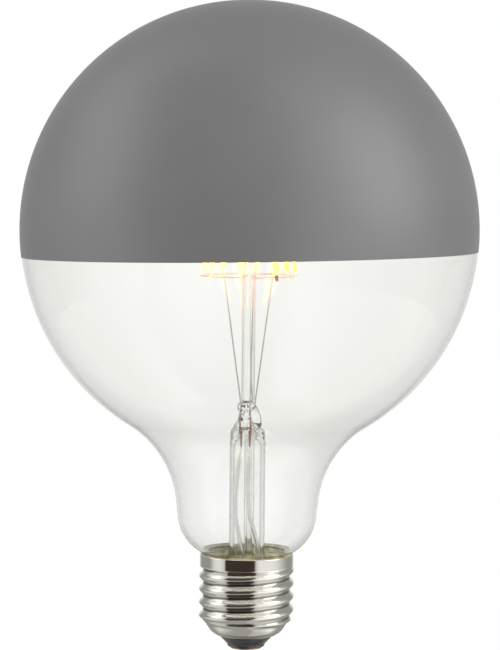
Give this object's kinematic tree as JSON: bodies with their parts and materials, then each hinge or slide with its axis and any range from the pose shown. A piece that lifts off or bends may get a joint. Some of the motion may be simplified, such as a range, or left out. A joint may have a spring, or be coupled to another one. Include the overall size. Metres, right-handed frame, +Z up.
{
  "type": "silver crown bulb",
  "caption": "Large globe bulb with a satin grey crown on its upper half, LED filaments on a glass mount seen through the clear lower half, and a nickel screw cap",
  "frame": {"origin": "the tip of the solder on the centre contact, at the lower end of the bulb's axis", "axes": "+Z runs up the bulb's axis from the contact to the top of the crown, +X is to the right of the view in the picture, and +Y points away from it"},
  "size_m": [0.1252, 0.1252, 0.178],
  "materials": {
    "clear_glass": "clear, polished",
    "crown_lacquer": "satin grey lacquer with fine metal flake",
    "stem_glass": "clear, drawn and pressed",
    "mount_wire": "drawn nickel wire",
    "seal_wire": "copper-clad, dull red",
    "lead_wire": "tinned",
    "lead_sleeve": "translucent",
    "filament_coat": "matt yellow phosphor, lit",
    "filament_tab": "plated strip",
    "cap_nickel": "bright nickel plate",
    "insulator_glass": "black, fire-polished",
    "contact_brass": "stamped, dull",
    "contact_solder": "soft solder",
    "basing_cement": "baked, matt olive yellow",
    "board": "green mask",
    "capacitor_sleeve": "shrunk sleeve",
    "ferrite": "sintered, matt",
    "chip_mould": "moulded epoxy",
    "resistor_body": "dipped lacquer"
  },
  "bodies": {
    "root": {"glass_globe": "clear_glass", "crown_coat": "crown_lacquer", "stem_tube": "stem_glass", "exhaust_tube": "stem_glass", "centre_rod": "stem_glass", "hub_wires": "mount_wire", "upper_ring": "mount_wire", "lower_ring_left": "mount_wire", "lower_ring_right": "mount_wire", "seal_wire_left": "seal_wire", "seal_wire_right": "seal_wire", "lead_wire_left": "lead_wire", "lead_wire_right": "lead_wire", "lead_sleeve_left": "lead_sleeve", "lead_sleeve_right": "lead_sleeve", "cap_shell": "cap_nickel", "cap_insulator": "insulator_glass", "centre_contact": "contact_brass", "contact_solder": "contact_solder", "basing_cement": "basing_cement", "driver_board": "board", "smoothing_capacitor": "capacitor_sleeve", "drum_inductor": "ferrite", "bridge_rectifier": "chip_mould", "driver_chip": "chip_mould", "fuse_resistor": "resistor_body", "contact_wire": "lead_wire", "shell_wire": "lead_wire", "support_wire_front": "mount_wire", "support_wire_left": "mount_wire", "support_wire_back": "mount_wire", "support_wire_right": "mount_wire", "led_filament_1": "filament_coat", "filament_tabs_1": "filament_tab", "led_filament_2": "filament_coat", "filament_tabs_2": "filament_tab", "led_filament_3": "filament_coat", "filament_tabs_3": "filament_tab", "led_filament_4": "filament_coat", "filament_tabs_4": "filament_tab", "led_filament_5": "filament_coat", "filament_tabs_5": "filament_tab", "led_filament_6": "filament_coat", "filament_tabs_6": "filament_tab", "led_filament_7": "filament_coat", "filament_tabs_7": "filament_tab", "led_filament_8": "filament_coat", "filament_tabs_8": "filament_tab"}
  },
  "joints": []
}
